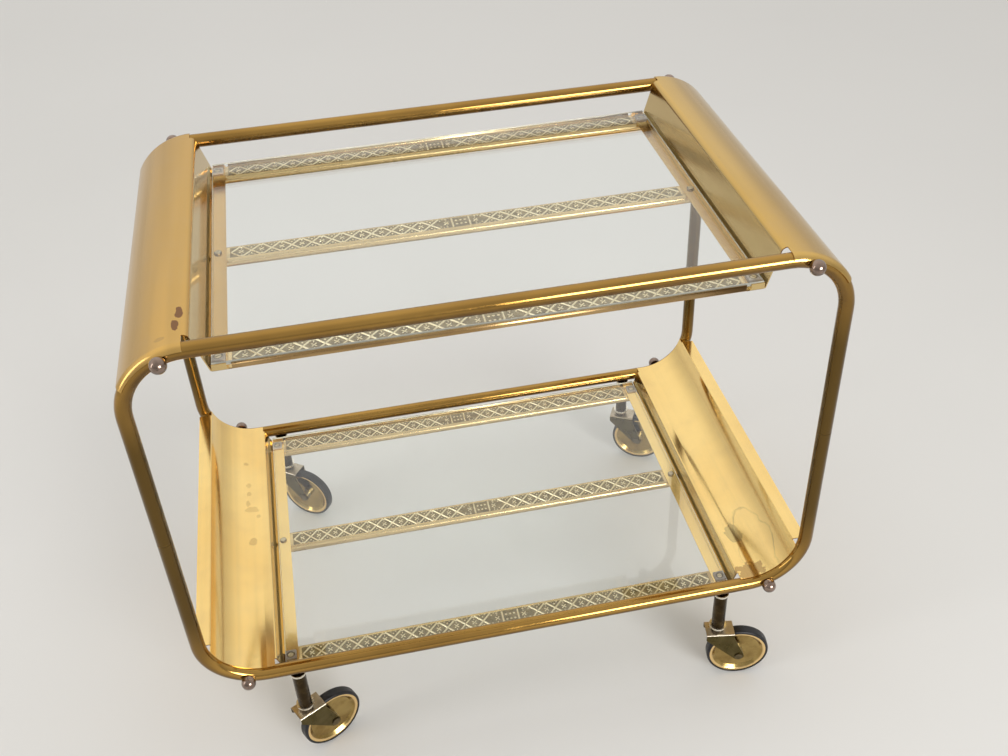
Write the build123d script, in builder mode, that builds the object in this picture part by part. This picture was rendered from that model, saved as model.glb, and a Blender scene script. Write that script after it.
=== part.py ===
from build123d import *
import os
from math import asin, cos, degrees, radians, sin

# Two-shelf bar cart. Millimetres, +Z up, the origin on the floor under the
# middle of the cart. +X is the cart's right end, -Y is its front.

# Frame: a front and a rear loop of bent tube, each loop an upper and a lower U
frame_length = 640.0  # between the centre lines of the uprights, end to end
frame_width = 390.0  # between the centre lines of the front and rear loops
frame_height = 414.0  # between the centre lines of the lower and upper rails
tube_diameter = 14.5
tube_wall = 1.2
tube_end_chamfer = 0.4  # round the Us' ends, where they butt
bend_radius = 60.0  # on the tube's centre line
spigot_length = 60.0  # sleeve inside each upright where the two Us butt
spigot_wall = 1.5

# End panels, folded from brass sheet
panel_sheet = 1.0
panel_gap = 0.2  # between a panel and the tube that it lies on
upper_wrap = 60.0  # degrees of the top bends under the upper panels
curl_wrap = 65.0  # degrees of the tube under a panel's curled edges
lower_wrap = 75.4  # degrees of the bottom bends above the lower panels
lip_length = 14.0  # turned-out top edge of a lower panel
crease_flat = 4.0  # from the start of a bend to an upper panel's crease
crease_radius = 5.0  # inside that crease
lower_flat = 9.0  # flat on the lower rails beside a lower panel's crease
fold_radius = 0.6  # inside the folds
flange_run = 16.0  # from the start of a bend inward to the ledge's fold
ledge_width = 15.0
tab_length = 12.5  # of the turned-up tabs at a ledge's front and rear
tab_height = 5.0  # of the tabs and of the strips' lips, above the ledge
upper_tray_drop = 31.0  # from the upper rails' centre line down to the ledge
lower_tray_drop = 10.0
side_gap = 2.0  # between the rails and what lies between them

# Patterned strips under the glass
strip_width = 27.5
strip_sheet = 0.8
strip_turn = 7.0  # height of the turned-down edges
strip_fold_radius = 3.2  # inside the turned-down edges
lip_fold_radius = 0.4  # inside an outer strip's lip
strip_end_gap = 1.0  # from the ledge's fold to the strip's end
lip_end_gap = 3.0  # from the ledges to the ends of an outer strip's lip

# Screws through ledge and strip
screw_diameter = 4.0
screw_clearance = 0.15
tray_head_diameter = 7.5
tray_head_height = 1.8
nut_across_flats = 7.0
nut_height = 3.2
thread_beyond_nut = 0.8
thread_clearance = 0.05

# Glass shelves on small pads
pad_size = 12.0
pad_fold_gap = 1.0  # from the ledge's fold
pad_thickness = 2.2
pad_head_gap = 0.5
glass_thickness = 4.0
glass_bevel = 0.5  # of the ground edges
glass_end_gap = 1.5  # from the ledge's fold
glass_side_gap = 0.4  # from the ledge's tabs

# Ball-headed screws that hold the panels to the bends
ball_diameter = 15.0
ball_standoff = 0.8  # from the ball's flat back to the tube
ball_back = 3.8  # from the ball's centre to its flat back
ball_angle = 19.5  # degrees round the bend from the rail
ball_neck_diameter = 6.0
seat_gap = 0.05  # under a screw's neck, and between a stem and its rail
lug_width = 14.0
lug_sheet = 1.5
lug_below_hole = 8.0

# Casters
stem_spread = 462.0  # between the left and right stems
stem_diameter = 14.5
stem_length = 51.45
stem_spigot_diameter = 8.0
stem_spigot_length = 11.5
ferrule_wall = 0.9
ferrule_height = 2.5
kingpin_diameter = 8.0
kingpin_length = 40.0  # above the collar
kingpin_bore_depth = 43.0
kingpin_head_diameter = 11.0
kingpin_head_height = 1.6
running_clearance = 0.05
ring_height = 30.0  # of the grip ring above the stem's lower end
ring_thickness = 1.6
ring_seat_depth = 0.8  # of the grip ring into the stem
ring_play = 0.35  # between the grip ring and the kingpin's groove
ring_overlap = 0.65  # of the grip ring over the kingpin's shoulder
ring_split = 2.0
collar_diameter = 19.0
collar_foot_diameter = 14.4
collar_foot_height = 2.0
collar_flare_height = 6.3
collar_height = 8.5
swivel_gap = 0.3  # between the collar and the stem
fork_length = 31.4  # of the fork's top along the trail
fork_width = 21.8
fork_sheet = 1.5
fork_fold_radius = 1.6
fork_shift = 2.4  # of the fork's top toward the wheel
cheek_square = 8.0  # height over which the cheeks keep their full length
tongue_radius = 6.0  # round the axle
axle_trail = 25.0  # from the kingpin's axis
axle_diameter = 6.0
axle_head_diameter = 9.0
axle_head_height = 1.2
wheel_diameter = 70.0
wheel_gap = 1.0  # between the tyre and the fork's top
tyre_width = 12.0
tyre_shoulder = 2.5
tread_depth = 3.1  # of the rubber outside the discs' rim
rim_flat = 2.0
rim_inside_width = 8.8
rim_seat = 0.1  # between the discs' rim and the tyre's shoulder
disc_sheet = 1.0
dish_diameter = 52.0  # flat middle of a dished disc, and of the hub's web
web_thickness = 2.4
hub_diameter = 12.0
hub_play = 0.2  # between the hub and each cheek

# How each caster stands: its end, its side and the turn of its trail from +X
casters = {
    "front_right": (1, -1, -9.5),
    "front_left": (-1, -1, 28.3),
    "rear_left": (-1, 1, -35.5),
    "rear_right": (1, 1, -27.6),
}

# Sizes that follow
tube_radius = tube_diameter / 2
half_length = frame_length / 2
half_width = frame_width / 2
wheel_radius = wheel_diameter / 2
axle_drop = wheel_radius + wheel_gap + fork_sheet
fork_top = wheel_radius + axle_drop
stem_foot = fork_top + collar_height + swivel_gap
stem_top = stem_foot + stem_length
lower_rail = stem_top + seat_gap + tube_radius
upper_rail = lower_rail + frame_height
seam = lower_rail + frame_height / 2
bend_x = half_length - bend_radius
upper_bend = upper_rail - bend_radius
lower_bend = lower_rail + bend_radius
tray_half_width = half_width - tube_radius - side_gap
ledge_fold = bend_x - flange_run
ledge_inside = ledge_fold - ledge_width
screw_x = ledge_fold - pad_fold_gap - pad_size / 2
screw_hole = screw_diameter / 2 + screw_clearance
strip_y = tray_half_width - strip_width / 2
strip_rows = {"front": -strip_y, "middle": 0.0, "rear": strip_y}
ball_x = bend_x + bend_radius * sin(radians(ball_angle))
ball_rise = bend_radius * cos(radians(ball_angle))
ball_heights = (upper_bend + ball_rise, lower_bend - ball_rise)
tray_ledges = {"upper": upper_rail - upper_tray_drop, "lower": lower_rail - lower_tray_drop}

os.makedirs("parts", exist_ok=True)


def end_plane(side):
    """A plane across the cart's width: x runs out to this end, y runs up."""
    return Plane(origin=(0, 0, 0), x_dir=(side, 0, 0), z_dir=(0, -side, 0))


def tray_screw_points(rows):
    """Where the tray screws of these rows stand, seen from above."""
    return [(side * screw_x, y) for side in (1, -1) for y in rows]


def bent_tube(name, face, rail, upward):
    """One U of tube: a rail, two bends and half of each upright."""
    y = face * half_width
    leg = abs(seam - rail)
    u_plane = Plane(origin=(0, y, rail), x_dir=(1, 0, 0), z_dir=(0, -upward, 0))
    with BuildPart() as tube:
        with BuildLine(u_plane) as path:
            FilletPolyline(
                (-half_length, leg),
                (-half_length, 0),
                (half_length, 0),
                (half_length, leg),
                radius=bend_radius,
            )
        with BuildSketch(Plane(origin=path.line @ 0, z_dir=path.line % 0)):
            Circle(tube_radius)
            Circle(tube_radius - tube_wall, mode=Mode.SUBTRACT)
        sweep(path=path.line)
        ends = edges().group_by(Axis.Z)[-1 if upward > 0 else 0]
        chamfer(ends.group_by(SortBy.RADIUS)[-1], length=tube_end_chamfer)
        with BuildSketch(u_plane):
            with Locations((ball_x, bend_radius - ball_rise), (-ball_x, bend_radius - ball_rise)):
                Circle(screw_hole)
        extrude(amount=tube_diameter, both=True, mode=Mode.SUBTRACT)
        if upward > 0:
            with BuildSketch(Plane((0, y, rail))):
                with Locations((stem_spread / 2, 0), (-stem_spread / 2, 0)):
                    Circle(stem_spigot_diameter / 2 + seat_gap)
            extrude(amount=-tube_diameter, mode=Mode.SUBTRACT)
    tube.part.label = name
    export_step(tube.part, f"parts/{name}.step")


bent_tube("front_upper_tube", -1, upper_rail, -1)
bent_tube("front_lower_tube", -1, lower_rail, 1)
bent_tube("rear_upper_tube", 1, upper_rail, -1)
bent_tube("rear_lower_tube", 1, lower_rail, 1)

# Sleeves that line up the two Us of each loop
with BuildPart() as tube_spigots:
    with BuildSketch(Plane.XY.offset(seam)):
        with GridLocations(frame_length, frame_width, 2, 2):
            Circle(tube_radius - tube_wall - thread_clearance)
            Circle(tube_radius - tube_wall - thread_clearance - spigot_wall, mode=Mode.SUBTRACT)
    extrude(amount=spigot_length / 2, both=True)
tube_spigots.part.label = "tube_spigots"
export_step(tube_spigots.part, "parts/tube_spigots.step")


def lug_outline(side, face, centre, upward, near, far):
    """The outline of a panel's front or rear lug, with its screw hole."""
    lean = radians(ball_angle)
    out = Vector(side * sin(lean), 0, upward * cos(lean))
    start = Vector(side * bend_x, face * tray_half_width, centre)
    with BuildSketch(Plane(origin=start, x_dir=out, z_dir=(0, -face, 0))) as lug:
        with Locations(((near + far) / 2, 0)):
            Rectangle(abs(far - near), lug_width)
        with Locations((bend_radius, 0)):
            Circle(screw_hole, mode=Mode.SUBTRACT)
    return lug.sketch


def ledge_holes(side, top):
    """The tray screws' holes through a panel's ledge."""
    with BuildSketch(Plane.XY.offset(top)) as holes:
        with Locations(*[(side * screw_x, y) for y in strip_rows.values()]):
            Circle(screw_hole)
    return holes.sketch


def ledge_tabs(side, under):
    """The turned-up tabs at the front and rear of a panel's ledge."""
    tab_x = side * (ledge_fold - ledge_width / 2)
    with BuildSketch(Plane.XY.offset(under)) as tabs:
        for face in (1, -1):
            with Locations((tab_x, face * (tray_half_width - panel_sheet / 2))):
                Rectangle(tab_length, panel_sheet)
    return tabs.sketch


def upper_panel(name, side):
    """A convex end panel: wrapped over the top bends, folded down to its ledge."""
    ledge = tray_ledges["upper"]
    under = bend_radius + tube_radius + panel_gap
    top = upper_bend + under
    section = Plane(origin=(side * bend_x, 0, upper_bend), x_dir=(0, side, 0), z_dir=(side, 0, 0))
    with BuildPart() as panel:
        with BuildSketch(section):
            with BuildLine():
                flat = Line((-half_width, under), (half_width, under))
                JernArc(flat @ 1, flat % 1, tube_radius + panel_gap, -curl_wrap)
                JernArc(flat @ 0, flat % 0 * -1, tube_radius + panel_gap, curl_wrap)
                offset(amount=panel_sheet, side=Side.LEFT)
            make_face()
        revolve(axis=Axis((side * bend_x, 0, upper_bend), (0, side, 0)), revolution_arc=upper_wrap)
        with BuildSketch(end_plane(side)):
            with BuildLine():
                FilletPolyline(
                    (bend_x, top),
                    (bend_x - crease_flat, top),
                    (ledge_fold, ledge - panel_sheet),
                    (ledge_inside, ledge - panel_sheet),
                    radius=(crease_radius, fold_radius + panel_sheet),
                )
                offset(amount=panel_sheet, side=Side.RIGHT)
            make_face()
        extrude(amount=tray_half_width, both=True)
        for face in (1, -1):
            far = bend_radius - lug_below_hole
            lug = lug_outline(side, face, upper_bend, 1, under + panel_sheet / 2, far)
            extrude(lug, amount=lug_sheet)
        extrude(ledge_tabs(side, ledge - panel_sheet), amount=panel_sheet + tab_height)
        extrude(ledge_holes(side, ledge), amount=-panel_sheet, mode=Mode.SUBTRACT)
    panel.part.label = name
    export_step(panel.part, f"parts/{name}.step")


upper_panel("upper_right_panel", 1)
upper_panel("upper_left_panel", -1)


def lower_panel(name, side):
    """A concave end panel: in the bottom bends, with a lip, a flange and a ledge."""
    ledge = tray_ledges["lower"]
    hollow = bend_radius - tube_radius - panel_gap
    top = lower_bend - hollow
    with BuildPart() as panel:
        with BuildSketch(end_plane(side)):
            with BuildLine():
                fold = FilletPolyline(
                    (ledge_inside, ledge - panel_sheet),
                    (ledge_fold, ledge - panel_sheet),
                    (bend_x - lower_flat, top),
                    (bend_x, top),
                    radius=(fold_radius + panel_sheet, fold_radius),
                )
                sweep_up = JernArc(fold @ 1, fold % 1, hollow, lower_wrap)
                Line(sweep_up @ 1, sweep_up @ 1 + Vector(lip_length, 0))
                offset(amount=panel_sheet, side=Side.LEFT)
            make_face()
        extrude(amount=tray_half_width, both=True)
        with BuildSketch(end_plane(side)):
            with BuildLine():
                over_rail = Line((bend_x - lower_flat + panel_sheet, top), (bend_x, top))
                JernArc(over_rail @ 1, over_rail % 1, hollow, lower_wrap)
                offset(amount=panel_sheet, side=Side.LEFT)
            make_face()
        extrude(amount=half_width, both=True)
        for face in (1, -1):
            far = bend_radius + lug_below_hole
            lug = lug_outline(side, face, lower_bend, -1, hollow - panel_sheet / 2, far)
            extrude(lug, amount=lug_sheet)
        extrude(ledge_tabs(side, ledge - panel_sheet), amount=panel_sheet + tab_height)
        extrude(ledge_holes(side, ledge), amount=-panel_sheet, mode=Mode.SUBTRACT)
    panel.part.label = name
    export_step(panel.part, f"parts/{name}.step")


lower_panel("lower_right_panel", 1)
lower_panel("lower_left_panel", -1)


def strip(name, y, top):
    """A patterned strip's sheet, screwed up under both ledges.

    Its long edges turn down. The outer edge of a front or rear strip turns up
    instead, as a lip between the ledges that holds the glass.
    """
    outward = -1 if y < 0 else 1
    half_strip = strip_width / 2
    shoulder = strip_fold_radius + strip_sheet
    if y == 0:
        outer_edge = [(half_strip, 0), (half_strip, -strip_turn)]
        fold_radii = (shoulder, shoulder)
    else:
        lip = half_strip - strip_sheet
        outer_edge = [(lip, 0), (lip, panel_sheet + tab_height)]
        fold_radii = (shoulder, lip_fold_radius)
    half_sheet = ledge_fold - strip_end_gap
    with BuildPart() as sheet:
        with BuildSketch(Plane(origin=(0, y, top), x_dir=(0, outward, 0), z_dir=(outward, 0, 0))):
            with BuildLine():
                FilletPolyline(
                    (-half_strip, -strip_turn),
                    (-half_strip, 0),
                    *outer_edge,
                    radius=fold_radii,
                )
                offset(amount=strip_sheet, side=Side.RIGHT)
            make_face()
        extrude(amount=half_sheet, both=True)
        with BuildSketch(Plane.XY.offset(top)):
            with Locations((0, y)):
                Rectangle(2 * half_sheet, strip_width)
                Rectangle(2 * (ledge_inside - lip_end_gap), strip_width, mode=Mode.SUBTRACT)
        extrude(amount=panel_sheet + tab_height, mode=Mode.SUBTRACT)
        with BuildSketch(Plane.XY.offset(top)):
            with Locations(*tray_screw_points([y])):
                Circle(screw_hole)
        extrude(amount=-strip_sheet, mode=Mode.SUBTRACT)
    sheet.part.label = name
    export_step(sheet.part, f"parts/{name}.step")


def glass(name, under):
    """A glass shelf, lying on its four pads between the lips and the flanges."""
    half_depth = tray_half_width - panel_sheet - glass_side_gap
    with BuildPart() as pane:
        with BuildSketch(Plane.XY.offset(under)):
            Rectangle(2 * (ledge_fold - glass_end_gap), 2 * half_depth)
        extrude(amount=glass_thickness)
        rims = edges().group_by(Axis.Z)
        chamfer(rims[0] + rims[-1], length=glass_bevel)
    pane.part.label = name
    export_step(pane.part, f"parts/{name}.step")


def glass_pads(name, ledge):
    """Four pads under a glass shelf's corners, each round a screw's head."""
    corners = tray_screw_points([-strip_y, strip_y])
    with BuildPart() as pads:
        with BuildSketch(Plane.XY.offset(ledge)):
            with Locations(*corners):
                Rectangle(pad_size, pad_size)
                Circle(tray_head_diameter / 2 + pad_head_gap, mode=Mode.SUBTRACT)
        extrude(amount=pad_thickness)
    pads.part.label = name
    export_step(pads.part, f"parts/{name}.step")


for tray, ledge in tray_ledges.items():
    for row, y in strip_rows.items():
        strip(f"{tray}_{row}_strip", y, ledge - panel_sheet)
    glass_pads(f"{tray}_glass_pads", ledge)
    glass(f"{tray}_glass", ledge + pad_thickness)

# Screws and nuts through every ledge and strip
screw_points = tray_screw_points(strip_rows.values())
clamped = panel_sheet + strip_sheet
with BuildPart() as tray_screws:
    for ledge in tray_ledges.values():
        with BuildSketch(Plane.XY.offset(ledge)):
            with Locations(*screw_points):
                Circle(tray_head_diameter / 2)
        extrude(amount=tray_head_height)
        with BuildSketch(Plane.XY.offset(ledge)):
            with Locations(*screw_points):
                Circle(screw_diameter / 2)
        extrude(amount=-(clamped + nut_height + thread_beyond_nut))
tray_screws.part.label = "tray_screws"
export_step(tray_screws.part, "parts/tray_screws.step")

with BuildPart() as tray_nuts:
    for ledge in tray_ledges.values():
        with BuildSketch(Plane.XY.offset(ledge - clamped)):
            with Locations(*screw_points):
                RegularPolygon(nut_across_flats / 2, 6, major_radius=False)
                Circle(screw_diameter / 2 + thread_clearance, mode=Mode.SUBTRACT)
        extrude(amount=-nut_height)
tray_nuts.part.label = "tray_nuts"
export_step(tray_nuts.part, "parts/tray_nuts.step")

# Ball-headed screws through the bends into the panels' lugs, and their nuts
neck_start = half_width + tube_radius + seat_gap
ball_centre = half_width + tube_radius + ball_standoff + ball_back
ball_cut = -degrees(asin(2 * ball_back / ball_diameter))
lug_inside = tray_half_width - lug_sheet
ball_screw_end = lug_inside - nut_height - thread_beyond_nut
ball_planes = [
    Plane(origin=(side * ball_x, 0, z), x_dir=(side, 0, 0), z_dir=(0, face, 0))
    for side in (1, -1)
    for z in ball_heights
    for face in (1, -1)
]
with BuildPart() as ball_screws:
    for plane in ball_planes:
        with Locations(plane.offset(ball_centre)):
            Sphere(ball_diameter / 2, arc_size1=ball_cut, align=None)
        with BuildSketch(plane.offset(neck_start)):
            Circle(ball_neck_diameter / 2)
        extrude(amount=ball_centre - neck_start)
        with BuildSketch(plane.offset(ball_screw_end)):
            Circle(screw_diameter / 2)
        extrude(amount=ball_centre - ball_screw_end)
ball_screws.part.label = "ball_screws"
export_step(ball_screws.part, "parts/ball_screws.step")

with BuildPart() as ball_screw_nuts:
    for plane in ball_planes:
        with BuildSketch(plane.offset(lug_inside)):
            RegularPolygon(nut_across_flats / 2, 6, major_radius=False)
            Circle(screw_diameter / 2 + thread_clearance, mode=Mode.SUBTRACT)
        extrude(amount=-nut_height)
ball_screw_nuts.part.label = "ball_screw_nuts"
export_step(ball_screw_nuts.part, "parts/ball_screw_nuts.step")

# Fixed part of the casters: stems, ferrules and the rings that grip the kingpins
kingpin_radius = kingpin_diameter / 2
kingpin_bore = kingpin_radius + running_clearance
groove_radius = kingpin_radius - ring_overlap - ring_play
ring_inside = kingpin_radius - ring_overlap
ring_outside = kingpin_bore + ring_seat_depth
ring_level = stem_foot + ring_height
ring_slot = ring_thickness + 2 * ring_play

with BuildPart() as caster_stems:
    with BuildSketch(Plane.XY.offset(stem_foot)):
        with GridLocations(stem_spread, frame_width, 2, 2):
            Circle(stem_diameter / 2)
    extrude(amount=stem_length)
    with BuildSketch(Plane.XY.offset(stem_top)):
        with GridLocations(stem_spread, frame_width, 2, 2):
            Circle(stem_spigot_diameter / 2)
    extrude(amount=stem_spigot_length)
    with BuildSketch(Plane.XY.offset(stem_foot)):
        with GridLocations(stem_spread, frame_width, 2, 2):
            Circle(kingpin_bore)
    extrude(amount=kingpin_bore_depth, mode=Mode.SUBTRACT)
    with BuildSketch(Plane.XY.offset(ring_level)):
        with GridLocations(stem_spread, frame_width, 2, 2):
            Circle(ring_outside)
    extrude(amount=ring_thickness / 2, both=True, mode=Mode.SUBTRACT)
caster_stems.part.label = "caster_stems"
export_step(caster_stems.part, "parts/caster_stems.step")

with BuildPart() as stem_ferrules:
    with BuildSketch(Plane.XY.offset(stem_top)):
        with GridLocations(stem_spread, frame_width, 2, 2):
            Circle(stem_diameter / 2 + seat_gap + ferrule_wall)
            Circle(stem_diameter / 2 + seat_gap, mode=Mode.SUBTRACT)
    extrude(amount=-ferrule_height)
stem_ferrules.part.label = "stem_ferrules"
export_step(stem_ferrules.part, "parts/stem_ferrules.step")

with BuildPart() as grip_rings:
    with BuildSketch(Plane.XY.offset(ring_level)):
        with GridLocations(stem_spread, frame_width, 2, 2):
            Circle(ring_outside)
            Circle(ring_inside, mode=Mode.SUBTRACT)
            Rectangle(
                ring_outside,
                ring_split,
                align=(Align.MIN, Align.CENTER),
                mode=Mode.SUBTRACT,
            )
    extrude(amount=ring_thickness / 2, both=True)
grip_rings.part.label = "grip_rings"
export_step(grip_rings.part, "parts/grip_rings.step")


def kingpin(name, top_plane):
    """The pin riveted in the fork's top, with a groove for its grip ring."""
    head = top_plane.offset(-fork_sheet - kingpin_head_height)
    groove = top_plane.offset(ring_level - fork_top)
    with BuildPart() as pin:
        with BuildSketch(head):
            Circle(kingpin_head_diameter / 2)
        extrude(amount=kingpin_head_height)
        with BuildSketch(head):
            Circle(kingpin_radius)
        extrude(amount=kingpin_head_height + fork_sheet + collar_height + kingpin_length)
        with BuildSketch(groove):
            Circle(kingpin_radius)
            Circle(groove_radius, mode=Mode.SUBTRACT)
        extrude(amount=ring_slot / 2, both=True, mode=Mode.SUBTRACT)
    pin.part.label = name
    export_step(pin.part, f"parts/{name}.step")


def collar(name, top_plane):
    """The flared ring on the fork's top that carries the stem."""
    section = Plane(origin=top_plane.origin, x_dir=top_plane.x_dir, z_dir=-top_plane.y_dir)
    with BuildPart() as ring:
        with BuildSketch(section):
            with BuildLine():
                Polyline(
                    (kingpin_radius, 0),
                    (collar_foot_diameter / 2, 0),
                    (collar_foot_diameter / 2, collar_foot_height),
                    (collar_diameter / 2, collar_flare_height),
                    (collar_diameter / 2, collar_height),
                    (kingpin_radius, collar_height),
                    close=True,
                )
            make_face()
        revolve(axis=Axis(top_plane.origin, (0, 0, 1)))
    ring.part.label = name
    export_step(ring.part, f"parts/{name}.step")


def fork(name, top_plane):
    """The wheel's fork, folded from sheet: a top and two cheeks down to the axle."""
    trail = top_plane.x_dir
    across = top_plane.y_dir
    back = fork_shift - fork_length / 2
    side_view = Plane(origin=top_plane.origin, x_dir=trail, z_dir=-across)
    depth = axle_drop + tongue_radius
    with BuildPart() as body:
        with BuildSketch(Plane(origin=top_plane.origin + trail * back, x_dir=across, z_dir=trail)):
            Rectangle(fork_width, depth, align=(Align.CENTER, Align.MAX))
            fillet(vertices().group_by(Axis.Y)[-1], fork_fold_radius)
            with Locations((0, -fork_sheet)):
                Rectangle(
                    fork_width - 2 * fork_sheet,
                    depth,
                    align=(Align.CENTER, Align.MAX),
                    mode=Mode.SUBTRACT,
                )
        extrude(amount=fork_length + axle_trail + tongue_radius)
        with BuildSketch(side_view):
            with Locations((axle_trail, -axle_drop)):
                Circle(tongue_radius)
            with Locations((fork_shift, -cheek_square)):
                Rectangle(fork_length, fork_sheet, align=(Align.CENTER, Align.MIN))
            make_hull()
            with Locations((fork_shift, 0)):
                Rectangle(fork_length, cheek_square, align=(Align.CENTER, Align.MAX))
        extrude(amount=fork_width, both=True, mode=Mode.INTERSECT)
        with BuildSketch(side_view):
            with Locations((axle_trail, -axle_drop)):
                Circle(axle_diameter / 2)
        extrude(amount=fork_width, both=True, mode=Mode.SUBTRACT)
        with BuildSketch(top_plane):
            Circle(kingpin_radius)
        extrude(amount=-fork_sheet, mode=Mode.SUBTRACT)
    body.part.label = name
    export_step(body.part, f"parts/{name}.step")


def axle(name, side_view):
    """The axle riveted through both cheeks."""
    with BuildPart() as rod:
        with BuildSketch(side_view):
            Circle(axle_diameter / 2)
        extrude(amount=fork_width / 2 + axle_head_height / 2, both=True)
        for face in (1, -1):
            with BuildSketch(side_view.offset(face * fork_width / 2)):
                Circle(axle_head_diameter / 2)
            extrude(amount=face * axle_head_height)
    rod.part.label = name
    export_step(rod.part, f"parts/{name}.step")


# Half sections of a wheel's pieces: x is the radius, y runs along the axle
web_half = web_thickness / 2
rim_half = rim_inside_width / 2
rim_radius = wheel_radius - tread_depth
dish_radius = dish_diameter / 2
cone_end = rim_radius - rim_flat


def hub(name, section, spin):
    """The wheel's bushed hub with the web that the discs are clamped to."""
    hub_half = fork_width / 2 - fork_sheet - hub_play
    bore = axle_diameter / 2 + running_clearance
    with BuildPart() as spool:
        with BuildSketch(section):
            with Locations((bore, 0)):
                Rectangle(hub_diameter / 2 - bore, 2 * hub_half, align=(Align.MIN, Align.CENTER))
                Rectangle(dish_radius - bore, web_thickness, align=(Align.MIN, Align.CENTER))
        revolve(axis=spin)
    spool.part.label = name
    export_step(spool.part, f"parts/{name}.step")


def wheel_discs(name, section, spin):
    """The wheel's two dished discs."""
    with BuildPart() as discs:
        for face in (1, -1):
            with BuildSketch(section):
                with BuildLine():
                    Polyline(
                        (hub_diameter / 2, face * web_half),
                        (dish_radius, face * web_half),
                        (cone_end, face * rim_half),
                        (rim_radius, face * rim_half),
                    )
                    offset(amount=disc_sheet, side=Side.LEFT if face > 0 else Side.RIGHT)
                make_face()
            revolve(axis=spin)
    discs.part.label = name
    export_step(discs.part, f"parts/{name}.step")


def tyre(name, section, spin):
    """The rubber tyre, gripped between the discs."""
    shoulder = rim_radius + rim_seat
    with BuildPart() as ring:
        with BuildSketch(section):
            with BuildLine():
                Polyline(
                    (dish_radius, 0),
                    (dish_radius, web_half),
                    (cone_end, rim_half),
                    (shoulder, rim_half),
                    (shoulder, tyre_width / 2),
                    (wheel_radius, tyre_width / 2),
                    (wheel_radius, 0),
                    close=True,
                )
            make_face()
            fillet(vertices().group_by(Axis.X)[-1].sort_by(Axis.Y)[-1], tyre_shoulder)
            mirror(about=Plane.XZ)
        revolve(axis=spin)
    ring.part.label = name
    export_step(ring.part, f"parts/{name}.step")


for place, (end, face, turn) in casters.items():
    trail = Vector(cos(radians(turn)), sin(radians(turn)), 0)
    stem_axis = Vector(end * stem_spread / 2, face * half_width, 0)
    top_plane = Plane(origin=stem_axis + Vector(0, 0, fork_top), x_dir=trail, z_dir=(0, 0, 1))
    hub_plane = Plane(
        origin=top_plane.origin + trail * axle_trail - Vector(0, 0, axle_drop),
        x_dir=trail,
        z_dir=(0, 0, 1),
    )
    side_view = Plane(origin=hub_plane.origin, x_dir=trail, z_dir=-hub_plane.y_dir)
    spin = Axis(hub_plane.origin, hub_plane.y_dir)
    kingpin(f"{place}_kingpin", top_plane)
    collar(f"{place}_collar", top_plane)
    fork(f"{place}_fork", top_plane)
    axle(f"{place}_axle", side_view)
    hub(f"{place}_hub", hub_plane, spin)
    wheel_discs(f"{place}_wheel_discs", hub_plane, spin)
    tyre(f"{place}_tyre", hub_plane, spin)
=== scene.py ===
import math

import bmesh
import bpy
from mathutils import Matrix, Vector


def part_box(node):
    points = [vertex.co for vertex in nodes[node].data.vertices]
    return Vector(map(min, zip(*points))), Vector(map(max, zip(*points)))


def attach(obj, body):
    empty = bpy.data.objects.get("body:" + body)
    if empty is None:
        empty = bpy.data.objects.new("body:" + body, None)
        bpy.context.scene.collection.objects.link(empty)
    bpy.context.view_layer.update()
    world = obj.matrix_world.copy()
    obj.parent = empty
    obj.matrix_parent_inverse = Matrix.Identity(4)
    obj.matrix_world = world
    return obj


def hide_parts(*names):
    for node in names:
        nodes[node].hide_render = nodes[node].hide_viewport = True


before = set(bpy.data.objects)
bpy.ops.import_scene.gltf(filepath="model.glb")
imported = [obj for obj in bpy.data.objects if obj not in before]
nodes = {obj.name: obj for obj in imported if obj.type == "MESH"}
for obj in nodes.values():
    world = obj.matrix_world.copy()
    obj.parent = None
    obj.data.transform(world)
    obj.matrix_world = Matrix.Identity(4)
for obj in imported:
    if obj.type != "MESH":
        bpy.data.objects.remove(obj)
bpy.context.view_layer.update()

# %% [markdown]
# This file dresses a brass bar cart. The cart's construction is already made:
# bent tubes, folded panels, glass shelves, screws and casters, each a named
# node at its real place. Here each node gets a finish, and a few nodes are
# replaced by pieces with detail that the construction leaves out.

MM = 0.001

# %% [markdown]
# The photograph looks down on the cart from in front of it, a little to its
# left. The camera is placed by its lens, its place and three angles: a turn
# about the vertical, a tilt down and a small roll. Building its rotation from
# those three, innermost last, keeps each one readable and easy to change.

# %% Camera
CAMERA_PLACE = Vector((-0.1302, -0.9708, 1.0859))
CAMERA_TURN = math.radians(-9.668)
CAMERA_TILT = math.radians(37.842)
CAMERA_ROLL = math.radians(-2.914)
CAMERA_LENS = 40.35
SENSOR_WIDTH = 36.0

camera_data = bpy.data.cameras.new("camera")
camera_data.lens = CAMERA_LENS
camera_data.sensor_width = SENSOR_WIDTH
camera = bpy.data.objects.new("camera", camera_data)
bpy.context.scene.collection.objects.link(camera)
camera.matrix_world = (
    Matrix.Translation(CAMERA_PLACE)
    @ Matrix.Rotation(CAMERA_TURN, 4, "Z")
    @ Matrix.Rotation(math.pi / 2 - CAMERA_TILT, 4, "X")
    @ Matrix.Rotation(CAMERA_ROLL, 4, "Z")
)
bpy.context.scene.camera = camera
print("camera at", tuple(round(c, 3) for c in CAMERA_PLACE))

# %% [markdown]
# Finishes are written as arithmetic. A wire is the output of a shader node,
# and adding or multiplying wires adds Math nodes, so a mask reads like the
# sum that it is. Comparing two wires gives 1 where it is true and 0 elsewhere.

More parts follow.
